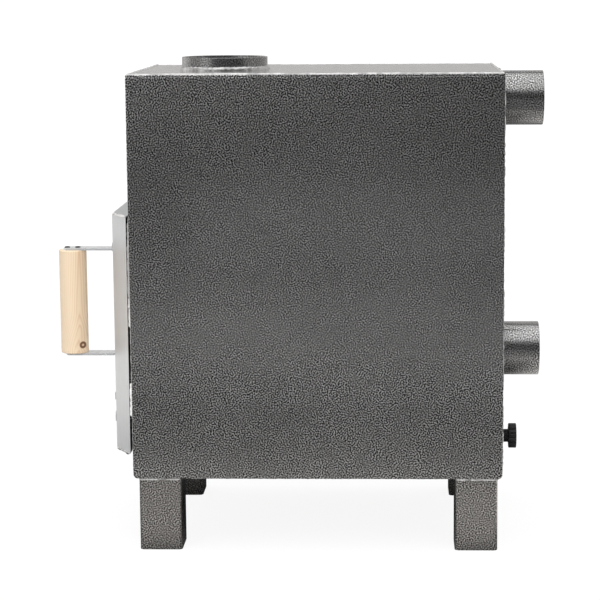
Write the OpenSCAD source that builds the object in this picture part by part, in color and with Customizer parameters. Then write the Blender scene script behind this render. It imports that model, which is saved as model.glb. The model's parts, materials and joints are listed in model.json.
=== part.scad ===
// Wood-fired hot tub stove: a water jacket round a firebox, on four legs.
// X runs from the door (minus) to the water pipes (plus), Y across, Z up from the floor.
// Sub-parts are modelled from the front wall's outer face and the body's underside.

/* [Body] */
// Length of the water jacket, from the door wall to the pipe wall
body_l = 500; // [420:5:650]
// Width of the water jacket
body_w = 360; // [360:5:480]
// Height of the water jacket, without the legs
body_h = 545; // [500:5:700]
// Sheet thickness of the jacket
jacket_t = 3; // [2:0.5:4]
// Outer radius of the folded edges under the body
fold_r = 6; // [5:1:14]

/* [Legs] */
// Width of a square leg
leg_w = 58; // [40:1:70]
// Height of a leg
leg_h = 100; // [60:5:160]
// Wall of a leg
leg_t = 3; // [2:0.5:4]
// Outer corner radius of a leg
leg_corner_r = 6; // [5:1:10]
// Distance of the front legs from the door wall
leg_inset_front = 7; // [4:1:30]
// Distance of the rear legs from the pipe wall
leg_inset_rear = 6; // [4:1:30]
// Distance of the legs from the body's sides
leg_inset_side = 3; // [3:1:30]
// Size of the weld round a leg's top
leg_weld = 2.5; // [1:0.5:3]

/* [Firebox] */
// Plate thickness of the firebox
firebox_t = 4; // [3:0.5:6]
// Outer radius of the firebox's folded edges
firebox_fold_r = 10; // [8:1:16]
// Water gap at each side of the firebox
water_side = 35; // [20:1:40]
// Water gap under the firebox
water_under = 25; // [15:1:30]
// Water gap behind the firebox
water_rear = 50; // [40:1:80]
// Water gap over the firebox
water_top = 95; // [40:5:110]
// Thickness of the smoke baffle
baffle_t = 5; // [4:1:8]
// Height of the baffle over the door opening
baffle_rise = 18; // [10:1:30]
// Smoke gap between the baffle and the back of the firebox
baffle_gap = 113; // [80:1:160]
// Thickness of the grate
grate_t = 12; // [8:1:16]
// Ash space under the grate
ash_h = 20; // [18:1:30]
// Width of a slot in the grate
grate_slot_w = 12; // [8:1:16]
// Distance from slot to slot in the grate
grate_pitch = 24; // [20:1:32]
// Rows of slots along the grate
grate_rows = 3; // [2:1:4]
// Width of the rails that carry the grate and the baffle
rail_w = 20; // [15:1:25]
// Thickness of the rails
rail_t = 3; // [2:0.5:4]

/* [Flue] */
// Outer diameter of the flue collar
flue_d = 120; // [100:1:150]
// Wall of the flue collar
flue_t = 3; // [2:0.5:4]
// Height of the collar over the top plate
flue_rise = 18; // [15:1:60]
// Distance of the flue's axis from the door wall
flue_x = 117; // [90:1:200]
// Width of the weld bead round the collar
flue_weld_w = 4; // [4:1:12]
// Height of the weld bead round the collar
flue_weld_h = 7; // [4:1:12]

/* [Water pipes] */
// Outer diameter of the water pipes
pipe_d = 76; // [50:1:90]
// Wall of the water pipes
pipe_t = 2; // [1.5:0.5:3]
// Height of the outlet's axis over the body's underside
outlet_z = 504; // [460:1:504]
// Length of the outlet behind the body
outlet_l = 62; // [40:1:90]
// Height of the inlet's axis over the body's underside
inlet_z = 148; // [110:1:300]
// Length of the inlet behind the body
inlet_l = 59; // [40:1:90]
// Size of the weld at a pipe's root
pipe_weld = 4; // [2:1:6]

/* [Drain] */
// Height of the drain's axis over the body's underside
drain_z = 20; // [20:1:30]
// Outer radius of the drain socket
socket_r = 11; // [10:0.5:11]
// Length of the drain socket
socket_l = 16; // [12:1:20]
// How far the socket stands out of the wall
socket_proud = 1; // [0.5:0.5:3]
// Radius of the drain plug's stem
stem_r = 6; // [4:0.5:7]
// Thickness of the drain seal
seal_t = 1.5; // [1:0.5:3]
// Radius of the plug's neck
neck_r = 9.25; // [8:0.25:12]
// Distance of the knob's head from the wall
knob_reach = 17.7; // [12:0.1:25]
// Radius of the knob's head
knob_r = 17.8; // [14:0.1:20]
// Thickness of the knob's head
knob_t = 11; // [8:0.5:16]
// Number of grip flutes round the knob
knob_flutes = 12; // [8:1:18]

/* [Door opening] */
// Width of the door opening
opening_w = 220; // [180:5:220]
// Height of the door opening
opening_h = 270; // [220:5:280]
// Height of the opening over the body's underside
opening_z = 62; // [58:1:80]
// Thickness of the sealing frame round the opening
frame_t = 4; // [3:0.5:5]
// How far the sealing frame stands out of the wall
frame_d = 12; // [8:0.5:16]
// Width of the rope seal
rope_w = 10; // [8:0.5:12]
// Depth of the rope seal when it is pressed
rope_d = 8.5; // [6:0.5:12]
// Thickness of the flat bars that hold the rope seal
keeper_t = 2.5; // [2:0.5:3]
// Height of the bars that hold the rope seal
keeper_h = 7; // [4:0.5:8]

/* [Door] */
// Thickness of the door leaf
leaf_t = 4; // [3:0.5:6]
// Edge of the leaf outside the rope seal
leaf_lip = 2; // [1:0.5:3]
// Sheet thickness of the door cover
cover_t = 1.5; // [1:0.5:2]
// Gap between the cover's back edge and the wall
cover_gap = 6; // [4:0.5:10]
// How far the cover's back edge reaches past the leaf at each side
cover_side = 38.5; // [30:0.5:40]
// How far the cover's front face is drawn in at each side
cover_slant = 43; // [30:1:43]
// How far the cover reaches over the opening
cover_over = 23; // [20:1:30]
// How far the cover reaches below the opening
cover_under = 32; // [28:1:40]
// Radius of the cover's folds
cover_fold_r = 3; // [2:0.5:4]

/* [Hinges] */
// Thickness of the hinge straps
strap_t = 4; // [3:0.5:5]
// Height of the hinge straps
strap_h = 30; // [20:1:40]
// Length of a strap along the leaf, from the hinge pin
strap_l = 131; // [100:1:150]
// Radius of the hinge pins
pin_r = 4; // [3:0.5:5]
// Thickness of the hinge ears
ear_t = 4; // [3:0.5:6]
// Thickness of the hinge brackets' foot plates
foot_t = 3; // [2:0.5:4]
// Distance of the hinge pins from the cover's edge
pin_out = 11; // [10:0.5:12]
// Height of the lower hinge over the body's underside
hinge_z_low = 75; // [70:1:100]
// Height of the upper hinge over the body's underside
hinge_z_high = 310; // [260:1:320]

/* [Handle] */
// Diameter of the wooden grip
grip_d = 38; // [30:1:44]
// Length of the wooden grip
grip_l = 144; // [110:1:160]
// Rounding of the grip's ends
grip_edge_r = 3; // [1:0.5:6]
// Distance of the grip's axis from the cover
grip_reach = 61; // [50:1:80]
// Height of the grip's middle over the body's underside
grip_z = 229; // [190:1:240]
// Distance of the grip from the door's middle
grip_y = 80; // [60:1:85]
// Width of the handle's strip
strip_w = 25; // [20:1:30]
// Thickness of the handle's strip
strip_t = 3; // [2:0.5:4]
// Outer radius of the strip's bends
strip_bend_r = 6; // [5:0.5:10]
// How far the strip reaches past the grip's axis
strip_end = 17.5; // [14:0.5:19]
// Distance between the two screws at each end of the grip
grip_screw_gap = 14.6; // [12:0.1:18]

/* [Air slide] */
// Width of an air slot
slot_w = 22; // [16:1:22]
// Height of an air slot
slot_h = 14; // [8:1:16]
// Distance from air slot to air slot
slot_pitch = 45; // [45:1:48]
// Height of the slots' middle over the opening's lower edge
slot_rise = 20; // [18:1:24]
// Thickness of the slide
slide_t = 2; // [1.5:0.5:2.5]
// How far the slide's finger lip stands out
lip_out = 12; // [8:1:14]

/* [Catch] */
// Height of the catch over the body's underside
catch_z = 166.5; // [140:0.5:200]
// Thickness of the tongue on the door
tongue_t = 3; // [2:0.5:4]
// Height of the catch's plate
catch_h = 63; // [40:1:80]
// Sheet thickness of the catch's plate and springs
catch_t = 1.5; // [1:0.5:2]

/* [Hidden] */

$fn = 64;
// Clearance of a turning fit, on the radius
run_fit = 0.05;
// Clearance between parts that pass each other
pass_gap = 0.3;
// Gap that a weld closes between a tube and its hole
weld_gap = 0.3;
// Amount by which a cut runs past a face
cut = 1;

// Paint, steel and wood as they look
paint_c = "#5b5b5a";
steel_c = "#c3c1be";
black_c = "#1d1d1d";
iron_c = "#3a3836";
bare_c = "#8b8885";
wood_c = "#e8c9a0";
rope_c = "#cfcac0";

// The stack from the wall to the cover's front face
leaf_back = frame_d + pass_gap + rope_d;
leaf_front = leaf_back + leaf_t;
strap_front = leaf_front + strap_t;
cover_front = strap_front + cover_t;
cover_depth = cover_front - cover_gap;

// The leaf and the cover round the opening
seal_mid = opening_w/2 + frame_t/2;
seal_rise = frame_t/2;
leaf_half = seal_mid + rope_w/2 + keeper_t + leaf_lip;
leaf_rim = leaf_half - opening_w/2;
cover_half = leaf_half + cover_side;
cover_face_half = cover_half - cover_slant;
cover_h = opening_h + cover_over + cover_under;
cover_z = opening_z - cover_under;
// Thickness of the cover's slanted sides, measured across the door
slant_t = cover_t*sqrt(cover_depth*cover_depth + cover_slant*cover_slant)/cover_depth;

// Hinges
eye_r = pin_r + run_fit + strap_t;
hinge_x = -strap_front + eye_r;
hinge_y = cover_half + pin_out;
hinge_heights = [hinge_z_low, hinge_z_high];
// Half of the height between the hinge ears
ear_from = strap_h/2 + pass_gap;
pin_head_t = strap_t/2;
pin_head_r = pin_r + pin_head_t;

// Handle
grip_x = -cover_front - grip_reach;
grip_low = grip_z - grip_l/2;
grip_high = grip_z + grip_l/2;

// The whole part is centred on its length
reach_front = -grip_x + grip_d/2;
reach_rear = max(outlet_l, inlet_l, knob_reach + knob_t);
x_front = reach_front - (reach_front + body_l + reach_rear)/2;

// Firebox
firebox_w = body_w - 2*jacket_t - 2*water_side;
firebox_low = jacket_t + water_under;
firebox_high = body_h - jacket_t - water_top;
firebox_back_x = body_l - jacket_t - water_rear;
firebox_l = firebox_back_x - firebox_t - jacket_t;
hearth_half = firebox_w/2 - firebox_t;
floor_z = firebox_low + firebox_t;
grate_z = floor_z + ash_h;
baffle_z = opening_z + opening_h + baffle_rise;
// Play of the loose plates in the firebox
loose_gap = 2;

// Air slide
slots = 3;
slot_z = opening_z + slot_rise;
slide_travel = slot_pitch/2;
// How far the slide reaches past the slots
slide_margin = 8;
slide_half_h = slot_h/2 + slide_margin;
slide_l = slots*slot_pitch + slot_w/2 + slide_margin;
// Guide rails: half their length, and the reach of their lips
rail_half_l = (slide_l + slide_travel)/2 + slide_margin;
rail_lip = 5;

// Catch
// How far the tongue stops short of the cover's edge
tongue_short = 15.5;
tongue_edge = cover_half - tongue_short;
catch_gap = pass_gap + tongue_t/2;
catch_reach = strap_h/3;

// Screw sizes: radius of the head, radius of the shank, height of the head
cover_screw = [4.5, 2, 2.2];
grip_screw = [3.8, 1.8, 1.4];
handle_bolt = [5, 2.5, 2.5];
// Distance of the cover's screws from the door's middle
cover_screw_y = cover_face_half - 10;
// How deep the screws go into the grip
grip_screw_l = 25;
// Distance of the handle's bolts from the strip's bends
bolt_inset = 24;

// Places a sub-part that is modelled from the front wall and the body's underside
module on_body() {
    translate([x_front, 0, leg_h]) children();
}

// Flat outline with four rounded corners, centred
module round_rect(w, h, r) {
    square([w - 2*r, h], center = true);
    square([w, h - 2*r], center = true);
    for (sx = [-1, 1])
        for (sy = [-1, 1])
            translate([sx*(w/2 - r), sy*(h/2 - r)]) circle(r);
}

// Side outline of the body with its two lower corners rounded
module body_outline(l, h, r) {
    translate([r, 0]) square([l - 2*r, h]);
    translate([0, r]) square([l, h - r]);
    for (x = [r, l - r])
        translate([x, r]) circle(r);
}

// Raises an outline drawn in X and Z, and centres it across the body
module across(w) {
    rotate([90, 0, 0]) linear_extrude(w, center = true) children();
}

// Raises an outline drawn in Y and Z along X, from x = 0
module along(l) {
    rotate([90, 0, 90]) linear_extrude(l) children();
}

// Upright cylinder turned to point along X
module rod_x(r, l) {
    rotate([0, 90, 0]) cylinder(r = r, h = l);
}

// Frame of flat bar round the door opening, its inner edge a given distance outside the opening
module opening_ring(grow, t, depth) {
    along(depth) difference() {
        square([opening_w + 2*grow + 2*t, opening_h + 2*grow + 2*t], center = true);
        square([opening_w + 2*grow, opening_h + 2*grow], center = true);
    }
}

// Moves to the middle of the door opening, on the wall's outer face
module at_opening() {
    translate([0, 0, opening_z + opening_h/2]) children();
}

// Front wall, floor and rear wall of the jacket, folded from one sheet
module jacket_wrap() {
    color(paint_c) on_body() difference() {
        across(body_w - 2*jacket_t) difference() {
            body_outline(body_l, body_h - jacket_t, fold_r);
            translate([jacket_t, jacket_t])
                body_outline(body_l - 2*jacket_t, body_h, fold_r - jacket_t);
        }
        at_opening() translate([-cut, 0, 0])
            along(jacket_t + 2*cut) square([opening_w, opening_h], center = true);
        for (z = [outlet_z, inlet_z])
            translate([body_l - jacket_t - cut, 0, z]) rod_x(pipe_d/2 - pipe_t, jacket_t + 2*cut);
        translate([body_l - jacket_t - cut, 0, drain_z]) rod_x(socket_r + weld_gap, jacket_t + 2*cut);
    }
}

module side_plate(side) {
    color(paint_c) on_body() translate([0, side*(body_w - jacket_t)/2, 0])
        across(jacket_t) body_outline(body_l, body_h - jacket_t, fold_r);
}

module side_plate_near() {
    side_plate(-1);
}

module side_plate_far() {
    side_plate(1);
}

module top_plate() {
    color(paint_c) on_body() difference() {
        translate([0, -body_w/2, body_h - jacket_t]) cube([body_l, body_w, jacket_t]);
        translate([flue_x, 0, body_h - jacket_t - cut])
            cylinder(r = flue_d/2 + weld_gap, h = jacket_t + 2*cut);
    }
}

// Middle of a leg: front or rear, near or far
function leg_x(rear) = rear ? body_l - leg_inset_rear - leg_w/2 : leg_inset_front + leg_w/2;
function leg_y(side) = side*(body_w/2 - leg_inset_side - leg_w/2);

module leg(rear, side) {
    color(paint_c) on_body()
        translate([leg_x(rear), leg_y(side), -leg_h]) linear_extrude(leg_h) difference() {
            round_rect(leg_w, leg_w, leg_corner_r);
            round_rect(leg_w - 2*leg_t, leg_w - 2*leg_t, leg_corner_r - leg_t);
        }
}

module leg_front_near() {
    leg(false, -1);
}

module leg_front_far() {
    leg(false, 1);
}

module leg_rear_near() {
    leg(true, -1);
}

module leg_rear_far() {
    leg(true, 1);
}

// Weld seam round the top of each leg
module leg_welds() {
    color(paint_c) on_body()
        for (rear = [false, true])
            for (side = [-1, 1])
                translate([leg_x(rear), leg_y(side), -leg_weld]) linear_extrude(leg_weld) difference() {
                    round_rect(leg_w + 2*leg_weld, leg_w + 2*leg_weld, leg_corner_r + leg_weld);
                    round_rect(leg_w, leg_w, leg_corner_r);
                }
}

// Outline of the firebox, drawn in Y and Z, a given distance inside its outer face
module firebox_outline(inset) {
    translate([0, (firebox_low + firebox_high)/2])
        round_rect(firebox_w - 2*inset, firebox_high - firebox_low - 2*inset, firebox_fold_r - inset);
}

module firebox_shell() {
    color(iron_c) on_body() difference() {
        translate([jacket_t, 0, 0]) along(firebox_l) difference() {
            firebox_outline(0);
            firebox_outline(firebox_t);
        }
        translate([flue_x, 0, firebox_high - firebox_t - cut])
            cylinder(r = flue_d/2 + weld_gap, h = firebox_t + 2*cut);
    }
}

module firebox_back() {
    color(iron_c) on_body()
        translate([firebox_back_x - firebox_t, 0, 0]) along(firebox_t) firebox_outline(0);
}

module baffle_plate() {
    color(iron_c) on_body()
        translate([jacket_t + loose_gap, -hearth_half + loose_gap, baffle_z])
            cube([firebox_l - baffle_gap, 2*(hearth_half - loose_gap), baffle_t]);
}

// Angle rails welded to the firebox's sides, under the baffle
module baffle_rails() {
    color(iron_c) on_body()
        for (side = [0, 1])
            mirror([0, side, 0]) translate([jacket_t + loose_gap, 0, baffle_z]) {
                translate([0, hearth_half - rail_w, -rail_t])
                    cube([firebox_l - baffle_gap, rail_w, rail_t]);
                translate([0, hearth_half - rail_t, -rail_w])
                    cube([firebox_l - baffle_gap, rail_t, rail_w]);
            }
}

// Cast grate with rows of slots along the fire
module grate() {
    grate_l = firebox_l - 2*loose_gap;
    grate_half = hearth_half - loose_gap;
    slot_l = (grate_l - (grate_rows + 1)*grate_pitch)/grate_rows;
    across_n = floor((2*grate_half - 2*rail_w)/grate_pitch);
    color(iron_c) on_body() translate([jacket_t + loose_gap, 0, grate_z]) difference() {
        translate([0, -grate_half, 0]) cube([grate_l, 2*grate_half, grate_t]);
        for (row = [0 : grate_rows - 1])
            for (i = [0 : across_n - 1])
                translate([grate_pitch + row*(slot_l + grate_pitch),
                           (i - (across_n - 1)/2)*grate_pitch - grate_slot_w/2, -cut])
                    cube([slot_l, grate_slot_w, grate_t + 2*cut]);
    }
}

// Angle rails that stand on the firebox's floor, under the grate's edges
module grate_rails() {
    color(iron_c) on_body()
        for (side = [0, 1])
            mirror([0, side, 0]) translate([jacket_t + loose_gap, hearth_half - rail_w, grate_z]) {
                translate([0, 0, -rail_t]) cube([firebox_l - 2*loose_gap, rail_w, rail_t]);
                translate([0, 0, -ash_h]) cube([firebox_l - 2*loose_gap, rail_t, ash_h]);
            }
}

module flue_tube() {
    tube_low = firebox_high - firebox_t;
    tube_h = body_h + flue_rise - tube_low;
    color(paint_c) on_body() translate([flue_x, 0, tube_low]) difference() {
        cylinder(r = flue_d/2, h = tube_h);
        translate([0, 0, -cut]) cylinder(r = flue_d/2 - flue_t, h = tube_h + 2*cut);
    }
}

// Rounded weld bead where the collar leaves the top plate
module flue_weld() {
    steps = 6;
    color(paint_c) on_body() translate([flue_x, 0, body_h]) rotate_extrude()
        translate([flue_d/2, 0]) polygon(concat([[0, 0]],
            [for (i = [0 : steps]) [flue_weld_w*cos(90*i/steps), flue_weld_h*sin(90*i/steps)]]));
}

// Water pipe with the weld at its root, its foot on the rear wall
module water_pipe(z, l) {
    pipe_r = pipe_d/2;
    color(paint_c) on_body() translate([body_l, 0, z]) rotate([0, 90, 0]) rotate_extrude()
        polygon([[pipe_r - pipe_t, 0], [pipe_r + pipe_weld, 0], [pipe_r, pipe_weld],
                 [pipe_r, l], [pipe_r - pipe_t, l]]);
}

module water_outlet() {
    water_pipe(outlet_z, outlet_l);
}

module water_inlet() {
    water_pipe(inlet_z, inlet_l);
}

module drain_socket() {
    color(bare_c) on_body() translate([body_l + socket_proud - socket_l, 0, drain_z]) difference() {
        rod_x(socket_r, socket_l);
        translate([-cut, 0, 0]) rod_x(stem_r + run_fit, socket_l + 2*cut);
    }
}

// Flat bar frame that the rope seal closes on
module door_frame() {
    color(paint_c) on_body() at_opening() translate([-frame_d, 0, 0]) opening_ring(0, frame_t, frame_d);
}

// Moves to the middle of a hinge
module at_hinge(z) {
    translate([hinge_x, hinge_y, z]) children();
}

// Foot plate on the wall with two ears for the pin
module hinge_bracket(z) {
    color(paint_c) on_body() at_hinge(z) {
        difference() {
            for (up = [0, 1])
                mirror([0, 0, up]) translate([0, 0, ear_from]) linear_extrude(ear_t) {
                    circle(eye_r);
                    translate([0, -eye_r]) square([-hinge_x, 2*eye_r]);
                }
            cylinder(r = pin_r + run_fit, h = 2*(ear_from + ear_t + cut), center = true);
        }
        translate([-hinge_x - foot_t, -eye_r, -ear_from])
            cube([foot_t, 2*eye_r, 2*ear_from]);
    }
}

module hinge_bracket_lower() {
    hinge_bracket(hinge_z_low);
}

module hinge_bracket_upper() {
    hinge_bracket(hinge_z_high);
}

// Pin with a flat head on the upper ear
module hinge_pin(z) {
    ear_top = ear_from + ear_t;
    color(bare_c) on_body() at_hinge(z) {
        translate([0, 0, -ear_top - pin_head_t]) cylinder(r = pin_r, h = 2*ear_top + pin_head_t);
        translate([0, 0, ear_top]) cylinder(r = pin_head_r, h = pin_head_t);
    }
}

module hinge_pin_lower() {
    hinge_pin(hinge_z_low);
}

module hinge_pin_upper() {
    hinge_pin(hinge_z_high);
}

// Strap with its end rolled round the pin
module hinge_strap(z) {
    color(bare_c) on_body() at_hinge(z) difference() {
        union() {
            cylinder(r = eye_r, h = strap_h, center = true);
            translate([-eye_r, -strap_l, -strap_h/2]) cube([strap_t, strap_l, strap_h]);
        }
        cylinder(r = pin_r + run_fit, h = strap_h + 2*cut, center = true);
    }
}

module hinge_strap_lower() {
    hinge_strap(hinge_z_low);
}

module hinge_strap_upper() {
    hinge_strap(hinge_z_high);
}

// Air slots, cut along X through whatever stands between two depths
module air_slots(from_x, depth, shift) {
    for (i = [0 : slots - 1])
        translate([from_x, (i - (slots - 1)/2)*slot_pitch + shift, slot_z])
            along(depth) square([slot_w, slot_h], center = true);
}

module door_leaf() {
    color(iron_c) on_body() difference() {
        at_opening() translate([-leaf_front, 0, 0])
            along(leaf_t) square([2*leaf_half, opening_h + 2*leaf_rim], center = true);
        air_slots(-leaf_front - cut, leaf_t + 2*cut, 0);
    }
}

// Two rings of flat bar on the leaf that hold the rope seal between them
module seal_keepers() {
    inner = seal_rise - rope_w/2 - keeper_t;
    outer = seal_rise + rope_w/2;
    color(iron_c) on_body() at_opening() translate([-leaf_back, 0, 0])
        for (grow = [inner, outer])
            opening_ring(grow, keeper_t, keeper_h);
}

module rope_seal() {
    color(rope_c) on_body() at_opening() translate([-leaf_back, 0, 0])
        opening_ring(seal_rise - rope_w/2 + pass_gap, rope_w - 2*pass_gap, rope_d);
}

// Plan of the cover with rounded front folds: x is the depth, measured from the back edge
function fold_arc(cx, cy, r, from, to) = [for (i = [0 : 4])
    let (a = from + (to - from)*i/4) [cx - r*cos(a), cy + r*sin(a)]];

module cover_plan(half_back, half_face, depth, r) {
    // angle of the slanted side from the door's plane
    slant = atan2(depth, half_back - half_face);
    // distance of the fold's centre from the corner, along the front face
    tangent = r*tan(slant/2);
    cy = half_face - tangent;
    arc = fold_arc(-depth + r, cy, r, 0, slant);
    polygon(concat([[0, -half_back], [0, half_back]],
        [for (i = [4 : -1 : 0]) arc[i]],
        [for (p = arc) [p[0], -p[1]]]));
}

// Folded stainless cover: slanted sides, flat top and bottom, notches for the hinge straps
module door_cover() {
    inner_half = cover_half - slant_t;
    inner_face = cover_half - slant_t - cover_slant*(cover_depth - cover_t)/cover_depth;
    color(steel_c) on_body() difference() {
        translate([-cover_gap, 0, cover_z]) difference() {
            linear_extrude(cover_h) cover_plan(cover_half, cover_face_half, cover_depth, cover_fold_r);
            translate([0, 0, cover_t]) linear_extrude(cover_h - 2*cover_t)
                cover_plan(inner_half, inner_face, cover_depth - cover_t, cover_fold_r - cover_t);
            translate([0, -inner_half, cover_t]) cube([cut, 2*inner_half, cover_h - 2*cover_t]);
        }
        for (z = hinge_heights)
            translate([-strap_front, cover_face_half - cover_fold_r, z - strap_h/2 - cover_gap/2])
                cube([strap_front, cover_slant + 2*cover_fold_r, strap_h + cover_gap]);
        air_slots(-cover_front - cut, cover_t + 2*cut, 0);
        for (y = [-1, 1])
            for (z = hinge_heights)
                translate([-cover_front - cut, y*cover_screw_y, z])
                    rod_x(cover_screw[1] + run_fit, cover_t + 2*cut);
        bolt_holes(-cover_front - cut, cover_t + 2*cut);
    }
}

// Distance pieces that carry the cover on the leaf's free side
module cover_spacers() {
    spacer_r = 7;
    color(bare_c) on_body()
        for (z = hinge_heights)
            translate([-strap_front, -cover_screw_y, z]) difference() {
                rod_x(spacer_r, strap_t);
                translate([-cut, 0, 0]) rod_x(cover_screw[1] + run_fit, strap_t + 2*cut);
            }
}

// Low round-headed screws through the cover
module cover_screws() {
    color(steel_c) on_body()
        for (z = hinge_heights)
            translate([-cover_front, 0, z]) {
                translate([-cover_screw[2], -cover_screw_y, 0]) rod_x(cover_screw[0], cover_screw[2]);
                translate([0, -cover_screw_y, 0]) rod_x(cover_screw[1], cover_t + strap_t);
                translate([-cover_screw[2], cover_screw_y, 0]) rod_x(cover_screw[0], cover_screw[2]);
                translate([0, cover_screw_y, 0]) rod_x(cover_screw[1], cover_t);
            }
}

// Flat tongue welded to the leaf's free edge
module catch_tongue() {
    // depth of the tongue's outer corner, clear of the slanted side
    corner_x = cover_gap + (cover_half - tongue_edge)*cover_depth/cover_slant - 2*cover_t;
    color(bare_c) on_body() translate([0, 0, catch_z - tongue_t/2]) linear_extrude(tongue_t)
        polygon([[-leaf_front, -leaf_half], [-corner_x, -tongue_edge], [-foot_t, -tongue_edge],
                 [-foot_t, -tongue_edge + catch_reach], [-leaf_back, -leaf_half]]);
}

// Black spring catch on the wall: a standing plate and two leaves that grip the tongue
module catch_clip() {
    plate_y = -tongue_edge - cut - catch_t;
    color(black_c) on_body() translate([0, plate_y, catch_z]) {
        translate([-catch_reach, 0, -catch_h/2]) cube([catch_reach, catch_t, catch_h]);
        translate([-catch_t, 0, -catch_h/2]) cube([catch_t, 2*catch_reach, catch_h]);
        for (up = [0, 1])
            mirror([0, 0, up])
                translate([-catch_reach, 0, catch_gap]) cube([catch_reach, 2*catch_reach, catch_t]);
    }
}

// Two folded rails that guide the air slide on the cover
module slide_rails() {
    rail_step = slide_t + 2*pass_gap;
    color(steel_c) on_body() translate([-cover_front, 0, slot_z])
        for (up = [0, 1])
            mirror([0, 0, up]) {
                translate([-rail_step, -rail_half_l, slide_half_h + pass_gap])
                    cube([rail_step, 2*rail_half_l, rail_lip]);
                translate([-rail_step - cover_t, -rail_half_l, slide_half_h + pass_gap - rail_lip])
                    cube([cover_t, 2*rail_half_l, 2*rail_lip]);
            }
}

// Slide with slots of its own: it shuts the air slots at rest and opens them at its far end
module air_slide() {
    slide_y = -slide_travel/2;
    lip_w = 18;
    color(steel_c) on_body() {
        difference() {
            translate([-cover_front - pass_gap - slide_t, slide_y - slide_l/2, slot_z - slide_half_h])
                cube([slide_t, slide_l, 2*slide_half_h]);
            air_slots(-cover_front - pass_gap - slide_t - cut, slide_t + 2*cut, -slide_travel);
        }
        translate([-cover_front - pass_gap - slide_t - lip_out, slot_pitch - lip_w/2, slot_z])
            cube([lip_out, lip_w, slide_t]);
    }
}

// Places the two bolts of the handle's strip
module at_bolts(x) {
    for (z = [grip_low + bolt_inset, grip_high - bolt_inset])
        translate([x, -grip_y, z]) children();
}

module bolt_holes(from_x, depth) {
    at_bolts(from_x) rod_x(handle_bolt[1] + run_fit, depth);
}

// Strip bent to a U, its back on the cover and its arms at the grip's ends
module handle_bracket() {
    back_x = -cover_front - strip_t;
    arm_l = grip_reach + strip_end;
    outer_h = grip_l + 2*strip_t;
    color(steel_c) on_body() difference() {
        intersection() {
            translate([-cover_front - arm_l, -grip_y, grip_low - strip_t]) across(strip_w) difference() {
                translate([arm_l/2, outer_h/2]) round_rect(arm_l, outer_h, strip_bend_r);
                translate([(arm_l - strip_t)/2, outer_h/2])
                    round_rect(arm_l - strip_t, grip_l, strip_bend_r - strip_t);
                translate([-cut, strip_t]) square([arm_l/2, grip_l]);
            }
            translate([-cover_front - arm_l + strip_bend_r, -grip_y, grip_low - strip_t])
                linear_extrude(outer_h) translate([arm_l/2, 0])
                    round_rect(arm_l, strip_w, strip_bend_r);
        }
        at_bolts(back_x) rotate([0, 90, 0]) {
            cylinder(r1 = handle_bolt[0], r2 = handle_bolt[1] + run_fit, h = handle_bolt[2]);
            cylinder(r = handle_bolt[1] + run_fit, h = strip_t + cut);
        }
        at_grip_screws() cylinder(r = grip_screw[1] + run_fit, h = outer_h + 2*cut, center = true);
    }
}

// Countersunk bolts from the handle's strip into the leaf
module handle_bolts() {
    color(bare_c) on_body() at_bolts(-cover_front - strip_t) rotate([0, 90, 0]) {
        cylinder(r1 = handle_bolt[0] - run_fit, r2 = handle_bolt[1], h = handle_bolt[2] + run_fit);
        cylinder(r = handle_bolt[1], h = strip_t + cover_t + strap_t);
    }
}

// Places the pair of screws that hold the grip
module at_grip_screws() {
    for (side = [-1, 1])
        translate([grip_x + side*grip_screw_gap/2, -grip_y, grip_z]) children();
}

module handle_grip() {
    grip_r = grip_d/2;
    color(wood_c) on_body() difference() {
        translate([grip_x, -grip_y, grip_low]) rotate_extrude() {
            square([grip_r - grip_edge_r, grip_l]);
            translate([0, grip_edge_r]) square([grip_r, grip_l - 2*grip_edge_r]);
            for (z = [grip_edge_r, grip_l - grip_edge_r])
                translate([grip_r - grip_edge_r, z]) circle(grip_edge_r);
        }
        at_grip_screws()
            for (up = [0, 1])
                mirror([0, 0, up]) translate([0, 0, grip_l/2 - grip_screw_l])
                    cylinder(r = grip_screw[1] + run_fit, h = grip_screw_l + cut);
    }
}

// Two dark screws at each end of the grip
module grip_screws() {
    color(black_c) on_body() at_grip_screws()
        for (up = [0, 1])
            mirror([0, 0, up]) translate([0, 0, grip_l/2]) {
                translate([0, 0, cut - grip_screw_l])
                    cylinder(r = grip_screw[1], h = grip_screw_l - cut + strip_t);
                translate([0, 0, strip_t]) cylinder(r = grip_screw[0], h = grip_screw[2]);
            }
}

// Plug with a fluted knob, its stem in the socket
module drain_plug() {
    neck_x = socket_proud + seal_t;
    edge = 1.5;
    flute_r = 3;
    color(black_c) on_body() translate([body_l, 0, drain_z]) {
        translate([socket_proud - socket_l + cut, 0, 0]) rod_x(stem_r, socket_l - cut + seal_t);
        translate([neck_x, 0, 0]) rod_x(neck_r, knob_reach - neck_x);
        translate([knob_reach, 0, 0]) rotate([0, 90, 0]) difference() {
            rotate_extrude() polygon([[0, 0], [knob_r - edge, 0], [knob_r, edge],
                [knob_r, knob_t - edge], [knob_r - edge, knob_t], [0, knob_t]]);
            for (i = [0 : knob_flutes - 1])
                rotate([0, 0, i*360/knob_flutes]) translate([knob_r + flute_r/2, 0, -cut])
                    cylinder(r = flute_r, h = knob_t + 2*cut, $fn = 24);
        }
    }
}

module drain_seal() {
    color(black_c) on_body() translate([body_l + socket_proud, 0, drain_z]) difference() {
        rod_x(neck_r, seal_t);
        translate([-cut, 0, 0]) rod_x(stem_r + run_fit, seal_t + 2*cut);
    }
}

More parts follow.
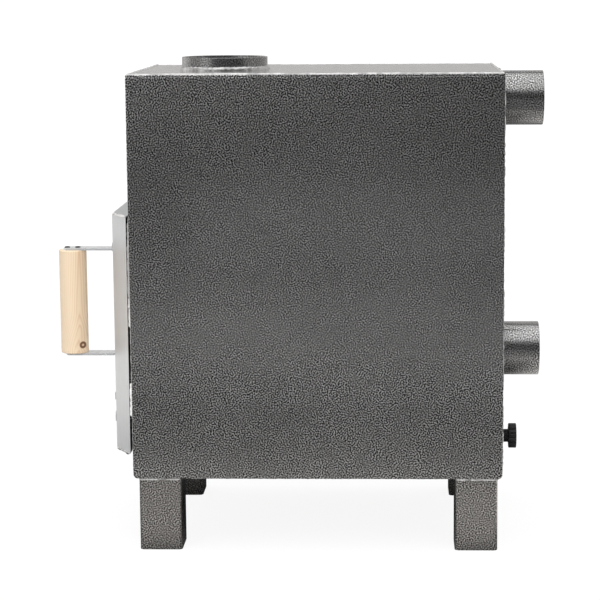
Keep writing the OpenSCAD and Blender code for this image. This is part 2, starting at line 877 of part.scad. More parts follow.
jacket_wrap();
side_plate_near();
side_plate_far();
top_plate();
leg_front_near();
leg_front_far();
leg_rear_near();
leg_rear_far();
leg_welds();
firebox_shell();
firebox_back();
baffle_plate();
baffle_rails();
grate();
grate_rails();
flue_tube();
flue_weld();
water_outlet();
water_inlet();
drain_socket();
door_frame();
hinge_bracket_lower();
hinge_bracket_upper();
hinge_pin_lower();
hinge_pin_upper();
catch_clip();
door_leaf();
seal_keepers();
rope_seal();
door_cover();
cover_spacers();
cover_screws();
hinge_strap_lower();
hinge_strap_upper();
catch_tongue();
slide_rails();
handle_bracket();
handle_bolts();
handle_grip();
grip_screws();
air_slide();
drain_plug();
drain_seal();
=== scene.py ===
"""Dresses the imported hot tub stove: hammered paint, stainless door, pine grip, welds and the studio."""
import json
from functools import cached_property
from math import atan2, cos, pi, radians, sin

import bmesh
import bpy
from mathutils import Matrix, Vector, noise


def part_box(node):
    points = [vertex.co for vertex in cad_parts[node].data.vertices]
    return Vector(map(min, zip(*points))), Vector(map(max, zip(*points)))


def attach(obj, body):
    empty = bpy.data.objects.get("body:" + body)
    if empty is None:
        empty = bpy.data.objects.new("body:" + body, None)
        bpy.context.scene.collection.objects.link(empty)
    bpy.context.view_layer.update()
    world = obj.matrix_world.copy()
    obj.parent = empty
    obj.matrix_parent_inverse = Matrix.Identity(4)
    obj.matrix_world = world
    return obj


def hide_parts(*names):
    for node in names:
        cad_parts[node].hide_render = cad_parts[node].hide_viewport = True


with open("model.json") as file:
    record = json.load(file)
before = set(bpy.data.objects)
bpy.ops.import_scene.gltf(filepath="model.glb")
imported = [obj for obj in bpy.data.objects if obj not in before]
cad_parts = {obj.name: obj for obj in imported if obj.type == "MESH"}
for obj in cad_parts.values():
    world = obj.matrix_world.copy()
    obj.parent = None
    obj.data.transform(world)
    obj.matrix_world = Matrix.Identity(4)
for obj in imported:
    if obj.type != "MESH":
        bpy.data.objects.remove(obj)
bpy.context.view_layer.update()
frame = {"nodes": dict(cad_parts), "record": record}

bl_info = {
    "name": "Hot tub stove looks",
    "version": (1, 0, 0),
    "blender": (4, 5, 0),
    "location": "3D View > Sidebar > Stove",
    "description": "Materials, welds, fittings and studio for the hot tub stove",
    "category": "Object",
}

MM = 0.001
X, Y, Z = Vector((1, 0, 0)), Vector((0, 1, 0)), Vector((0, 0, 1))

# Where the water jacket stands, read from its plates
PLATE_LOW, PLATE_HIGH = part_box("side_plate_near")
JACKET_FRONT, JACKET_REAR = PLATE_LOW.x, PLATE_HIGH.x
JACKET_LOW, JACKET_TOP = PLATE_LOW.z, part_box("top_plate")[1].z
JACKET_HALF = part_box("side_plate_far")[1].y

LEGS = ["leg_front_near", "leg_front_far", "leg_rear_near", "leg_rear_far"]
SUNK = 0.1*MM  # how deep the back of a bead lies in what carries it


# ---------------------------------------------------------------- settings

class StoveColours(bpy.types.PropertyGroup):
    """Colours of the finishes, as linear light."""
    paint_light: bpy.props.FloatVectorProperty(
        name="Paint, raised", description="Hammered paint on the raised cells",
        subtype="COLOR", default=(0.64, 0.635, 0.63), min=0, max=1)
    paint_dark: bpy.props.FloatVectorProperty(
        name="Paint, veins", description="Hammered paint in the veins between the cells",
        subtype="COLOR", default=(0.004, 0.004, 0.004), min=0, max=1)
    stainless: bpy.props.FloatVectorProperty(
        name="Stainless", description="Brushed sheet of the door cover and handle strip",
        subtype="COLOR", default=(0.590, 0.600, 0.608), min=0, max=1)
    pine_early: bpy.props.FloatVectorProperty(
        name="Pine, early wood", description="Pale wood between the growth rings",
        subtype="COLOR", default=(0.755, 0.610, 0.445), min=0, max=1)
    pine_late: bpy.props.FloatVectorProperty(
        name="Pine, late wood", description="Darker wood of the growth rings",
        subtype="COLOR", default=(0.60, 0.37, 0.20), min=0, max=1)
    soot: bpy.props.FloatVectorProperty(
        name="Soot", description="Bare plate inside the firebox",
        subtype="COLOR", default=(0.030, 0.028, 0.027), min=0, max=1)


class StoveWelds(bpy.types.PropertyGroup):
    """Sizes of the weld beads."""
    pitch: bpy.props.FloatProperty(
        name="Ripple pitch", description="Distance from ripple to ripple", subtype="DISTANCE",
        unit="LENGTH", default=4.2*MM, min=1*MM, max=20*MM)
    seam: bpy.props.FloatProperty(
        name="Seam size", description="Width of the seams along the jacket's edges", subtype="DISTANCE",
        unit="LENGTH", default=2.0*MM, min=0.5*MM, max=6*MM)
    leg: bpy.props.FloatProperty(
        name="Leg weld size", description="Size of the weld round a leg's top", subtype="DISTANCE",
        unit="LENGTH", default=2.5*MM, min=1*MM, max=6*MM)


class StoveStudio(bpy.types.PropertyGroup):
    """Camera and lights."""
    camera_place: bpy.props.FloatVectorProperty(
        name="Camera", description="Place of the camera", subtype="TRANSLATION", unit="LENGTH",
        default=(0.12914, -2.79928, 0.75576))
    camera_tilt: bpy.props.FloatProperty(
        name="Tilt", description="How far the camera looks down", subtype="ANGLE", unit="ROTATION",
        default=0.1519)
    camera_turn: bpy.props.FloatProperty(
        name="Turn", description="Turn of the camera about the upright", subtype="ANGLE",
        unit="ROTATION", default=0.0329)
    camera_roll: bpy.props.FloatProperty(
        name="Roll", description="Roll of the camera about its line of sight", subtype="ANGLE",
        unit="ROTATION", default=0.0060)
    lens: bpy.props.FloatProperty(
        name="Lens", description="Focal length on a 36 mm sensor", subtype="DISTANCE_CAMERA",
        default=119.23, min=10)
    shift: bpy.props.FloatVectorProperty(
        name="Shift", description="Sideways and upward shift of the frame", size=2,
        default=(-0.0503, -0.0114))
    top_light: bpy.props.FloatProperty(
        name="Top softbox", description="Power of the softbox overhead", subtype="POWER", unit="POWER",
        default=73.6, min=0)
    left_light: bpy.props.FloatProperty(
        name="Left softbox", description="Power of the softbox to the left of the camera",
        subtype="POWER", unit="POWER", default=8.0, min=0)
    left_rear_light: bpy.props.FloatProperty(
        name="Left rear softbox", description="Power of the softbox behind the stove's door side",
        subtype="POWER", unit="POWER", default=3.9, min=0)
    low_light: bpy.props.FloatProperty(
        name="Low softbox", description="Power of the strip softbox on the floor before the stove",
        subtype="POWER", unit="POWER", default=0.56, min=0)
    room: bpy.props.FloatProperty(
        name="Room light", description="Strength of the light from all round", default=1.43, min=0)
    room_mirrored: bpy.props.FloatProperty(
        name="Room in reflections", description="Strength of the room where metal and paint mirror it",
        default=0.012, min=0)
    wall_glow: bpy.props.FloatProperty(
        name="Wall", description="How bright the curved wall is in reflections", default=0.255, min=0)
    pool_near: bpy.props.FloatProperty(
        name="Floor by the legs", description="Glow of the floor just before the stove",
        default=0.401, min=0)
    pool_left: bpy.props.FloatProperty(
        name="Floor behind the door side", description="Glow of the floor to the left and behind",
        default=1.22, min=0)
    pool_pipes: bpy.props.FloatProperty(
        name="Floor under the pipes", description="Glow of the floor on the pipe side",
        default=0.82, min=0)


SETTINGS = {"stove_colours": StoveColours, "stove_welds": StoveWelds, "stove_studio": StoveStudio}


# ---------------------------------------------------------------- shader wiring

def maths(operation, swapped=False):
    """An operator that adds the Math node that does it. Swapped, the other value comes first."""
    def add(self, other):
        first, second = (other, self) if swapped else (self, other)
        return self.finish.node("ShaderNodeMath", {"operation": operation}, {0: first, 1: second})
    return add


class Wire:
    """A value in a shader. Maths on it adds the nodes that do it."""

    def __init__(self, finish, socket):
        self.finish, self.socket = finish, socket

    __add__, __radd__ = maths("ADD"), maths("ADD", swapped=True)
    __sub__, __rsub__ = maths("SUBTRACT"), maths("SUBTRACT", swapped=True)
    __mul__, __rmul__ = maths("MULTIPLY"), maths("MULTIPLY", swapped=True)
    __truediv__, __pow__ = maths("DIVIDE"), maths("POWER")


class Finish:
    """One material, or the world, while its nodes are being wired."""

    def __init__(self, name, kept_in="materials"):
        self.owner = getattr(bpy.data, kept_in).new(name)
        self.owner.use_nodes = True
        self.tree = self.owner.node_tree
        self.tree.nodes.clear()

    def node(self, kind, settings=None, inputs=None, output=0):
        """Adds a node: its settings first, then the values or links of its sockets."""
        made = self.tree.nodes.new(kind)
        for key, value in (settings or {}).items():
            if key == "stops":
                ramp = made.color_ramp
                while len(ramp.elements) < len(value):
                    ramp.elements.new(1.0)
                for element, (place, grey) in zip(ramp.elements, value):
                    element.position = place
                    element.color = (grey, grey, grey, 1.0)
            else:
                setattr(made, key, value)
        for key, value in (inputs or {}).items():
            if isinstance(value, Wire):
                self.tree.links.new(value.socket, made.inputs[key])
            elif value is not None:
                made.inputs[key].default_value = value
        return Wire(self, made.outputs[output])

    @cached_property
    def place(self):
        """Object coordinates, in metres."""
        return self.node("ShaderNodeTexCoord", output="Object")

    def moved(self, vector, offset=(0, 0, 0), scale=(1, 1, 1)):
        """A vector scaled, then moved."""
        return self.node("ShaderNodeMapping", {}, {"Vector": vector, "Location": offset, "Scale": scale})

    def vector(self, operation, first, second=None):
        """Vector maths on one or two vectors."""
        return self.node("ShaderNodeVectorMath", {"operation": operation}, {0: first, 1: second})

    def scaled(self, vector, amount):
        """A vector or colour times a number."""
        return self.node("ShaderNodeVectorMath", {"operation": "SCALE"}, {0: vector, "Scale": amount})

    def distance(self, vector):
        """A vector's length."""
        return self.node("ShaderNodeVectorMath", {"operation": "LENGTH"}, {0: vector}, output="Value")

    def part(self, vector, axis):
        """One part of a vector."""
        return self.node("ShaderNodeSeparateXYZ", {}, {"Vector": vector}, output=axis)

    def grey(self, value):
        """A grey colour."""
        return self.node("ShaderNodeCombineXYZ", {}, {"X": value, "Y": value, "Z": value})

    def noise(self, scale, detail=2.0, roughness=0.5, at=None, output=0):
        """Noise from 0 to 1, at the place or at another vector."""
        inputs = {"Vector": at or self.place, "Scale": scale, "Detail": detail, "Roughness": roughness}
        return self.node("ShaderNodeTexNoise", {}, inputs, output)

    def ramp(self, value, stops, smooth=False):
        """A grey value from a ramp of (place, value) stops."""
        made = self.node("ShaderNodeValToRGB", {"stops": stops}, {"Fac": value})
        if smooth:
            made.socket.node.color_ramp.interpolation = "EASE"
        return made

    def patches(self, start, full, *noise):
        """Patches of noise: 0 where it is under start, 1 where it is over full."""
        return self.ramp(self.noise(*noise), [(start, 0.0), (full, 1.0)])

    def mix(self, factor, first, second):
        """Colour between first and second."""
        return self.node("ShaderNodeMix", {"data_type": "RGBA"},
                         {0: factor, 6: _colour(first), 7: _colour(second)}, output=2)

    def on_face(self):
        """Flat coordinates on whichever pair of axes a face lies along, in metres."""
        facing = self.vector("ABSOLUTE", self.node("ShaderNodeTexCoord", output="Normal"))
        faces_x, faces_z = [self.node("ShaderNodeMath", {"operation": "GREATER_THAN"},
                                      {0: self.part(facing, axis), 1: 0.7}) for axis in "XZ"]
        x, y, z = [self.part(self.place, axis) for axis in "XYZ"]
        across, upward = x + faces_x*(y - x), z + faces_z*(y - z)
        return self.node("ShaderNodeCombineXYZ", {}, {"X": across, "Y": upward})

    def warp(self, vector, amount, scale):
        """A vector pushed about by noise."""
        push = self.noise(scale, 1.0, at=vector, output="Color")
        centred = self.vector("SUBTRACT", push, (0.5, 0.5, 0.5))
        return self.vector("ADD", vector, self.scaled(centred, amount))

    def bump(self, height, depth, strength=1.0):
        """A normal from a height, where depth is how high a height of 1 stands."""
        return self.node("ShaderNodeBump", {},
                         {"Height": height, "Distance": depth, "Strength": strength})

    def ray(self, kind):
        """What kind of ray it is that meets the surface."""
        return self.node("ShaderNodeLightPath", output=kind)

    def mirrored(self):
        """1 for a ray that comes off a mirroring surface and met no matt one before it."""
        return self.node("ShaderNodeMath", {"operation": "SUBTRACT", "use_clamp": True},
                         {0: self.ray("Is Glossy Ray"), 1: self.ray("Diffuse Depth")})

    def surface(self, **inputs):
        """Ends the material with one surface shader."""
        sockets = {key.replace("_", " ").title().replace("Ior", "IOR"): value
                   for key, value in inputs.items()}
        sockets["Base Color"] = _colour(sockets["Base Color"])
        return self.ended(self.node("ShaderNodeBsdfPrincipled", {}, sockets))

    def ended(self, shader, kind="ShaderNodeOutputMaterial"):
        """Links a shader to the output."""
        end = self.tree.nodes.new(kind)
        self.tree.links.new(shader.socket, end.inputs["Surface"])
        return self.owner


def _colour(value):
    """A colour with its fourth part, or a wire as it is."""
    if isinstance(value, Wire):
        return value
    return (*value[:3], 1.0)


# ---------------------------------------------------------------- finishes

def hammered_paint(name="hammered_paint", depth=1.0, painted_light_tint=(1.0, 1.0, 1.0)):
    """Dark grey hammered enamel: small raised cells between dark veins, bolder in some patches."""
    colours = bpy.context.scene.stove_colours
    made = Finish(name)
    cells = made.node("ShaderNodeTexGabor", {"gabor_type": "2D"},
                      {"Vector": made.on_face(), "Scale": 194.0, "Frequency": 1.6, "Anisotropy": 0.0})
    speck = made.noise(560.0, 1.0)
    raised = made.ramp(cells + (speck - 0.5)*0.42, [(0.28, 0.0), (0.50, 0.34), (0.76, 1.0)])
    boldness = made.ramp(made.noise(40.0, 2.0, 0.6), [(0.30, 0.50), (0.62, 1.0)])
    # painted light and shade: the grain's contrast and its tone drift with the height, here as a share
    # of the tallest, and darken along the wall towards the rear of the top, where less light falls
    tallest = 0.7
    height = made.part(made.warp(made.place, 0.030, 5.0), "Z")/tallest
    along = made.part(made.place, "X")
    upper = made.ramp(height, [(0.28, 0.0), (0.85, 1.0)])
    strength = made.ramp(height, [(0.14, 0.80), (0.19, 0.84), (0.25, 1.0), (0.31, 0.98), (0.37, 0.66),
                                  (0.42, 0.44), (0.48, 0.54), (0.56, 0.72), (0.68, 0.74), (0.88, 0.88)])
    strength = strength*(1.0 - along*upper*0.5)
    vein_edge, contrast, brightness = 0.38, 2.0, 1.35
    shade = vein_edge + (raised - vein_edge)*boldness*strength*contrast*depth
    cloud = made.noise(6.0, 4.0, 0.65)
    patchy = made.noise(38.0, 2.0)
    painted_light_by_height = made.ramp(height, [(0.14, 0.83), (0.20, 0.74), (0.27, 0.74), (0.33, 0.90), (0.39, 1.0),
                                (0.45, 0.96), (0.52, 0.82), (0.60, 0.71), (0.72, 0.66), (0.80, 0.76),
                                (0.90, 0.94)])
    # painted light and shade in the tone: stepped with the height, darker towards the rear top
    tone = (0.84 + cloud*0.40 + patchy*0.10)*painted_light_by_height*brightness*(1.0 - along*upper*0.65)
    # painted_light_tint makes lit and shaded copies of the paint: shade on the collar, a warm floor's
    # reflection on the legs
    colour = made.mix(shade, colours.paint_dark, [c*t for c, t in zip(colours.paint_light, painted_light_tint)])
    return made.surface(
        base_color=made.scaled(colour, tone), metallic=0.95, roughness=0.40 - raised*0.08,
        normal=made.bump(raised, 0.10*MM, 0.5*depth),
        coat_weight=1.0, coat_roughness=0.10, coat_ior=1.45)


def painted_weld(name="painted_weld", metallic=0.85):
    """The same enamel over a weld bead, smoother, with small runs, and painted brighter as a highlight.
    """
    made = Finish(name)
    grain = made.noise(420.0, 2.0)
    dull = made.patches(0.42, 0.62, 70.0)
    # painted highlight: the bead's colour is brighter than the enamel's
    colour = made.mix(grain, (0.34, 0.34, 0.34), (0.80, 0.79, 0.78))
    colour = made.mix(dull*0.6, colour, (0.16, 0.16, 0.16))
    return made.surface(
        base_color=colour, metallic=metallic, roughness=0.26 + grain*0.08,
        normal=made.bump(grain, 0.20*MM, 0.5), coat_weight=1.0, coat_roughness=0.08, coat_ior=1.45)


def bright_weld():
    """Bare weld, wire-brushed bright, burnt dark in spots; where it lies on the painted legs, its
    brightness is a painted highlight.
    """
    made = Finish("bright_weld")
    grain = made.noise(300.0, 3.0)
    burnt = made.patches(0.54, 0.62, 170.0)
    colour = made.mix(grain, (0.74, 0.73, 0.72), (0.95, 0.95, 0.94))
    colour = made.mix(burnt*0.8, colour, (0.20, 0.19, 0.18))
    return made.surface(base_color=colour, metallic=0.7, roughness=0.30 + grain*0.10,
                        normal=made.bump(grain, 0.20*MM, 0.4))


def brushed_stainless(name="brushed_stainless", grain=(1, 1, 0.02), roughness=0.40, painted_sheen=1.0,
                      relief=0.35):
    """Brushed stainless sheet with fine lines along its grain."""
    # painted_sheen scales the sheet's colour: above 1 it is a painted sheen
    sheet = [c*painted_sheen for c in bpy.context.scene.stove_colours.stainless]
    made = Finish(name)
    blurred = tuple(0.5 + 0.5*g for g in grain)
    lines = made.noise(1500.0, 3.0, 0.7, at=made.moved(made.place, scale=grain))
    broad = made.noise(60.0, 3.0, 0.6, at=made.moved(made.place, scale=blurred))
    smears = made.patches(0.35, 0.75, 14.0, 3.0, 0.6)
    colour = made.mix(lines, [c*0.80 for c in sheet], [min(1, c*1.16) for c in sheet])
    colour = made.mix(smears*0.35, colour, [c*0.82 for c in sheet])
    return made.surface(base_color=colour, metallic=0.6,
                        roughness=roughness - 0.06 + lines*0.10 + broad*0.06,
                        normal=made.bump(lines, 0.03*MM, relief))


def pine(knots):
    """Planed pine: rings about a pith that leans out of the grip's front, pushed aside by knots."""
    colours = bpy.context.scene.stove_colours
    low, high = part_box("handle_grip")
    made = Finish("pine")
    place = made.moved(made.place, offset=tuple(-(low + high)/2))
    wavy = made.warp(place, 0.0012, 24.0)
    lane, across, upward = made.part(wavy, "X"), made.part(wavy, "Y"), made.part(place, "Z")
    stretched = made.moved(place, scale=(1.0, 1.0, 0.06))
    # how far the growth rings lie from the pith, and how many of them there are to a metre
    pith_x, pith_y, lean, flattening, rings = 0.0103, 0.019, 0.017, 0.35, 345.0
    dx = lane - pith_x - upward*lean
    dy = (across + pith_y)*flattening
    radius = (dx*dx + dy*dy + 0.0000030)**0.5 + upward*0.022
    radius = radius - made.ramp(upward*10.0 + 0.72, [(0.0, 1.0), (0.62, 0.0)], smooth=True)*0.0105
    dark = 0.0
    for centre, size in knots:
        here = made.vector("SUBTRACT", place, centre)
        flat = made.distance(made.moved(here, scale=(1.0, 0.45, 0.9)))/size
        tall = made.distance(made.moved(here, scale=(1.0, 0.45, 0.45)))/size
        radius = radius + made.ramp(tall, [(0.0, 1.0), (0.8, 0.0)], smooth=True)*0.0050
        dark = made.ramp(flat, [(0.06, 0.15), (0.13, 1.0), (0.25, 1.0), (0.32, 0.0)]) + dark
    ring = made.node("ShaderNodeMath", {"operation": "FRACT"},
                     {0: radius*rings + made.noise(60.0, at=stretched)*0.8})
    late = made.ramp(ring, [(0.0, 0.0), (0.40, 0.08), (0.80, 1.0), (0.93, 0.20), (1.0, 0.0)])
    uneven = made.noise(120.0, at=made.moved(place, scale=(1, 1, 0.12)))
    bold = made.ramp(lane*26.0 + uneven*0.5 + 0.25, [(0.10, 0.18), (0.75, 0.95)])
    # a darker stripe runs down the right of the grip
    right_stripe = made.ramp(lane*40.0 + made.noise(40.0, at=stretched)*0.5 - upward*1.2,
                      [(0.42, 0.0), (0.62, 1.0), (0.84, 1.0), (1.0, 0.0)])
    fibres = made.noise(1100.0, 3.0, 0.7, at=made.moved(place, scale=(1, 1, 0.02)))
    wood = made.mix(late*bold*0.62 + fibres*0.14 - 0.05, colours.pine_early, colours.pine_late)
    wood = made.mix(right_stripe*0.16, wood, colours.pine_late)
    # painted light: the wood is lightened towards the grip's right side, which gets less light
    wood = made.mix(dark, made.scaled(wood, 1.0 + lane*7.0), (0.17, 0.075, 0.032))
    return made.surface(base_color=wood, roughness=0.55 - late*0.08 + fibres*0.10,
                        normal=made.bump(fibres*0.5 - late*0.5, 0.08*MM, 0.3))


def black_plastic():
    """Moulded black plastic with a fine satin grain."""
    made = Finish("black_plastic")
    grain = made.noise(2400.0, 2.0)
    scuffs = made.patches(0.55, 0.75, 160.0, 4.0, 0.7)
    colour = made.mix(scuffs*0.5, (0.012, 0.012, 0.013), (0.030, 0.030, 0.031))
    return made.surface(base_color=colour, roughness=0.40 + grain*0.12 + scuffs*0.10,
                        normal=made.bump(grain, 0.05*MM, 0.4))


def black_rubber():
    """Matt rubber of the drain seal."""
    made = Finish("black_rubber")
    grain = made.noise(1300.0, 3.0)
    colour = made.mix(grain, (0.010, 0.010, 0.010), (0.024, 0.024, 0.023))
    return made.surface(base_color=colour, roughness=0.70 + grain*0.15,
                        normal=made.bump(grain, 0.05*MM, 0.5))


def black_steel():
    """Blackened steel of the catch and the grip's screws."""
    made = Finish("black_steel")
    grain = made.noise(900.0, 3.0)
    rubbed = made.patches(0.60, 0.80, 120.0, 3.0, 0.7)
    colour = made.mix(rubbed*0.5, (0.018, 0.018, 0.018), (0.12, 0.118, 0.115))
    return made.surface(base_color=colour, metallic=0.55, roughness=0.38 + grain*0.15,
                        normal=made.bump(grain, 0.03*MM, 0.4))


def plain_steel():
    """Mill-finish steel of the straps, pins and small parts, a little worn."""
    made = Finish("plain_steel")
    scale = made.noise(240.0, 4.0, 0.65)
    fine = made.noise(1800.0, 2.0)
    tarnish = made.patches(0.50, 0.75, 45.0, 4.0, 0.7)
    colour = made.mix(scale, (0.24, 0.235, 0.23), (0.42, 0.41, 0.40))
    colour = made.mix(tarnish*0.4, colour, (0.14, 0.105, 0.08))
    return made.surface(base_color=colour, metallic=0.9, roughness=0.36 + scale*0.16 + tarnish*0.12,
                        normal=made.bump(fine*0.4 + scale*0.6, 0.05*MM, 0.4))


def fire_steel():
    """Hot-rolled plate in the firebox: grey scale, soot and a little rust bloom."""
    soot = bpy.context.scene.stove_colours.soot
    made = Finish("fire_steel")
    scale = made.noise(90.0, 5.0, 0.65)
    fine = made.noise(1100.0, 3.0)
    rust = made.patches(0.58, 0.74, 34.0, 5.0, 0.7)
    blotches = made.patches(0.40, 0.65, 16.0, 4.0, 0.6)
    colour = made.mix(scale, [c*1.2 for c in soot], (0.085, 0.083, 0.086))
    colour = made.mix(rust*0.45, colour, (0.085, 0.040, 0.022))
    colour = made.mix(blotches*0.6, colour, soot)
    return made.surface(base_color=colour, metallic=0.45, roughness=0.55 + scale*0.20,
                        normal=made.bump(fine*0.4 + scale*0.6, 0.10*MM, 0.5))


def cast_iron():
    """Sand-cast iron of the grate."""
    made = Finish("cast_iron")
    sand = made.noise(700.0, 4.0, 0.7)
    blotches = made.patches(0.50, 0.75, 28.0, 4.0, 0.6)
    colour = made.mix(sand, bpy.context.scene.stove_colours.soot, (0.070, 0.067, 0.064))
    colour = made.mix(blotches*0.4, colour, (0.070, 0.042, 0.028))
    return made.surface(base_color=colour, metallic=0.35, roughness=0.62 + sand*0.20,
                        normal=made.bump(sand, 0.30*MM, 0.8))


def glass_rope():
    """Glass-fibre rope: off-white yarn, greyed by smoke."""
    made = Finish("glass_rope")
    yarn = made.noise(1500.0, 3.0, 0.7)
    smoke = made.patches(0.40, 0.80, 30.0, 3.0, 0.6)
    colour = made.mix(yarn, (0.50, 0.47, 0.41), (0.72, 0.69, 0.62))
    colour = made.mix(smoke*0.6, colour, (0.20, 0.18, 0.155))
    return made.surface(base_color=colour, roughness=0.85, normal=made.bump(yarn, 0.20*MM, 0.8))


def white_fibre():
    """White ceramic fibre, ragged and matt, greyed towards its top as painted shade."""
    made = Finish("white_fibre")
    yarn = made.noise(900.0, 3.0, 0.7)
    gaps = made.patches(0.58, 0.68, 210.0)
    # painted shade: darker higher up the gap, where less light reaches in
    painted_shade_above = made.ramp(made.part(made.place, "Z")*2.0,
                       [(0.58, 0.0), (0.62, 0.25), (0.67, 0.35), (0.70, 0.80), (0.90, 0.88)])
    colour = made.mix(yarn, (0.80, 0.79, 0.77), (0.93, 0.93, 0.92))
    colour = made.mix(painted_shade_above, colour, (0.26, 0.255, 0.25))
    colour = made.mix(gaps*0.7, colour, (0.16, 0.15, 0.14))
    return made.surface(base_color=colour, roughness=0.85, normal=made.bump(yarn, 0.20*MM, 0.8))


FINISHES = {}


# ---------------------------------------------------------------- modelling helpers

def placed(name, data):
    """Puts a mesh, a lamp or a camera in the scene."""
    made = bpy.data.objects.new(name, data)
    bpy.context.scene.collection.objects.link(made)
    return made


def meshed(name, bm):
    """A smooth mesh from a bmesh, which is used up."""
    mesh = bpy.data.meshes.new(name)
    bm.to_mesh(mesh)
    bm.free()
    mesh.shade_smooth()
    return mesh


def ease(bm, width, segments=2, angle=35.0):
    """Bevels every edge that is sharper than an angle."""
    sharp = [e for e in bm.edges
             if len(e.link_faces) == 2 and e.calc_face_angle(0.0) > radians(angle)]
    if sharp:
        bmesh.ops.bevel(bm, geom=sharp, offset=width, offset_type="OFFSET", segments=segments,
                        profile=0.5, affect="EDGES", material=-1, clamp_overlap=True)


def shown(name, bm, body, slot, finish=None, replaces=(), sharp=38.0, weighted=False):
    """Makes a mesh a piece of the stove that moves with a body. Its finish is its slot's by default."""
    mesh = meshed(name, bm)
    mesh.set_sharp_from_angle(angle=radians(sharp))
    mesh.materials.append(FINISHES[finish or slot])
    piece = placed(name, mesh)
    if weighted:
        normals = piece.modifiers.new("even_normals", "WEIGHTED_NORMAL")
        normals.keep_sharp = True
    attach(piece, body)
    if replaces:
        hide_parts(*replaces)
    return piece


def turned(profile, centre, axis, steps=128):
    """A closed or axis-to-axis profile of (radius, distance along) points, turned about an axis."""
    bm = bmesh.new()
    out = Z if abs(axis.z) < 0.5 else X
    points = [bm.verts.new(centre + out*r + axis*a) for r, a in profile]
    closed = profile[0][0] > 0 or profile[-1][0] > 0
    ends = points[1:] + points[:1] if closed else points[1:]
    lines = [bm.edges.new(pair) for pair in zip(points, ends)]
    bmesh.ops.spin(bm, geom=points + lines, cent=centre, axis=axis, angle=2*pi, steps=steps,
                   use_merge=True, use_normal_flip=False, use_duplicate=False)
    return closed_up(bm)


def closed_up(bm):
    """Merges the corners that meet and turns the faces outwards."""
    bmesh.ops.remove_doubles(bm, verts=bm.verts, dist=1e-6)
    bmesh.ops.recalc_face_normals(bm, faces=bm.faces)
    return bm


def eased_node(node, body, slot, width, finish=None):
    """Replaces a CAD node with a copy whose edges are rounded as worked metal is."""
    bm = bmesh.new()
    bm.from_mesh(frame["nodes"][node].data)
    bmesh.ops.remove_doubles(bm, verts=bm.verts, dist=2e-6)
    bmesh.ops.dissolve_limit(bm, angle_limit=radians(0.4), use_dissolve_boundaries=False,
                             verts=bm.verts, edges=bm.edges, delimit=set())
    ease(bm, width)
    return shown(node + "_eased", bm, body, slot, finish, [node], weighted=True)


def lengths(points):
    """How far along a path each of its points lies."""
    found = [0.0]
    for a, b in zip(points, points[1:]):
        found.append(found[-1] + (b - a).length)
    return found


def wrapped(path, columns, around, put):
    """A grid wrapped along a path, whose every step is a point and one or more directions.

    Put says where a corner goes, from its column, its row, how far along it is and the path there.
    """
    length = lengths([step[0] for step in path])
    bm = bmesh.new()
    bmesh.ops.create_grid(bm, x_segments=columns, y_segments=around, size=0.5)
    step = 0
    for vert in sorted(bm.verts, key=lambda v: (v.co.x, v.co.y)):
        column, row = round((vert.co.x + 0.5)*columns), round((vert.co.y + 0.5)*around)
        far = length[-1]*column/columns
        while step + 2 < len(length) and length[step + 1] < far:
            step += 1
        share = (far - length[step])/max(1e-9, length[step + 1] - length[step])
        vert.co = put(column, row, far, [a.lerp(b, share) for a, b in zip(path[step], path[step + 1])])
    return closed_up(bm)


def bead(path, wide, high, seed, closed, pitch, rows=6, per_ripple=6, arc=0.5*pi, ripples=0.20,
         broken=0.0):
    """Weld bead laid along a path of (corner, foot along one face, foot along the other).

    The bead turns from the first foot towards the second through an arc: a quarter turn in an inner
    corner, a half turn for a ridge. Broken is how far it thins out in places.
    """
    total = lengths([corner for corner, _, _ in path])[-1]
    columns = max(8, int(total/pitch*per_ripple))

    def put(column, row, far, here):
        corner, foot_a, foot_b = here[0], here[1].normalized(), here[2].normalized()
        where = far if not closed or column < columns else 0.0
        # ripples like a row of coins, each leaning back a little, with an uneven hand
        angle = arc*min(row, rows)/rows
        wander = noise.noise(corner*95.0 + Vector((seed, 0, 0)))
        swell = noise.noise(corner*38.0 + Vector((0, seed, 0)))
        thin = 0.5 + 2.0*noise.noise(corner*160.0 + Vector((seed, seed, 0)))
        ripple = abs(sin(pi*(where/pitch + 0.30*sin(2*angle) + 0.30*wander)))
        size = 1.0 - ripples*(1.0 - ripple) + 0.16*swell
        size *= 1.0 - broken*min(1.0, max(0.0, thin))
        if not closed:
            size *= min(1.0, min(far, total - far)/(2.0*wide) + 0.02)
        if row <= rows:
            return corner + foot_a*wide*size*cos(angle) + foot_b*high*size*sin(angle)
        if row > rows + 1:
            return corner + foot_a*wide*size
        back = foot_b if arc > pi/2 else foot_a + foot_b
        return corner - back*SUNK

    return wrapped(path, columns, rows + 2, put)


def ridge(start, end, out, up, wide, high, seed, pitch, per_ripple=5, ripples=0.12, broken=0.0,
          count=40):
    """A half-round bead laid straight along a face. Out lies across it, and up stands off the face."""
    path = [(start.lerp(end, i/count), out, up) for i in range(count + 1)]
    return bead(path, wide, high, seed, False, pitch, rows=8, per_ripple=per_ripple, arc=pi,
                ripples=ripples, broken=broken)


def ring_path(centre, r, side, up, foot, steps):
    """A round path for a bead, one foot of which points outwards and the other along foot."""
    turns = [2*pi*i/steps for i in range(steps + 1)]
    outs = [side*cos(a) + up*sin(a) for a in turns]
    return [(centre + out*r, out, foot) for out in outs]


def rounded_path(half_x, half_y, r, centre, steps=10):
    """Points and outward directions round a rectangle with rounded corners, closed."""
    found = []
    for cx, cy, start in [(1, 1, 0), (-1, 1, 90), (-1, -1, 180), (1, -1, 270)]:
        for i in range(steps + 1):
            a = radians(start + 90*i/steps)
            out = Vector((cos(a), sin(a), 0))
            found.append((centre + Vector((cx*(half_x - r), cy*(half_y - r), 0)) + out*r, out))
    found.append(found[0])
    return found


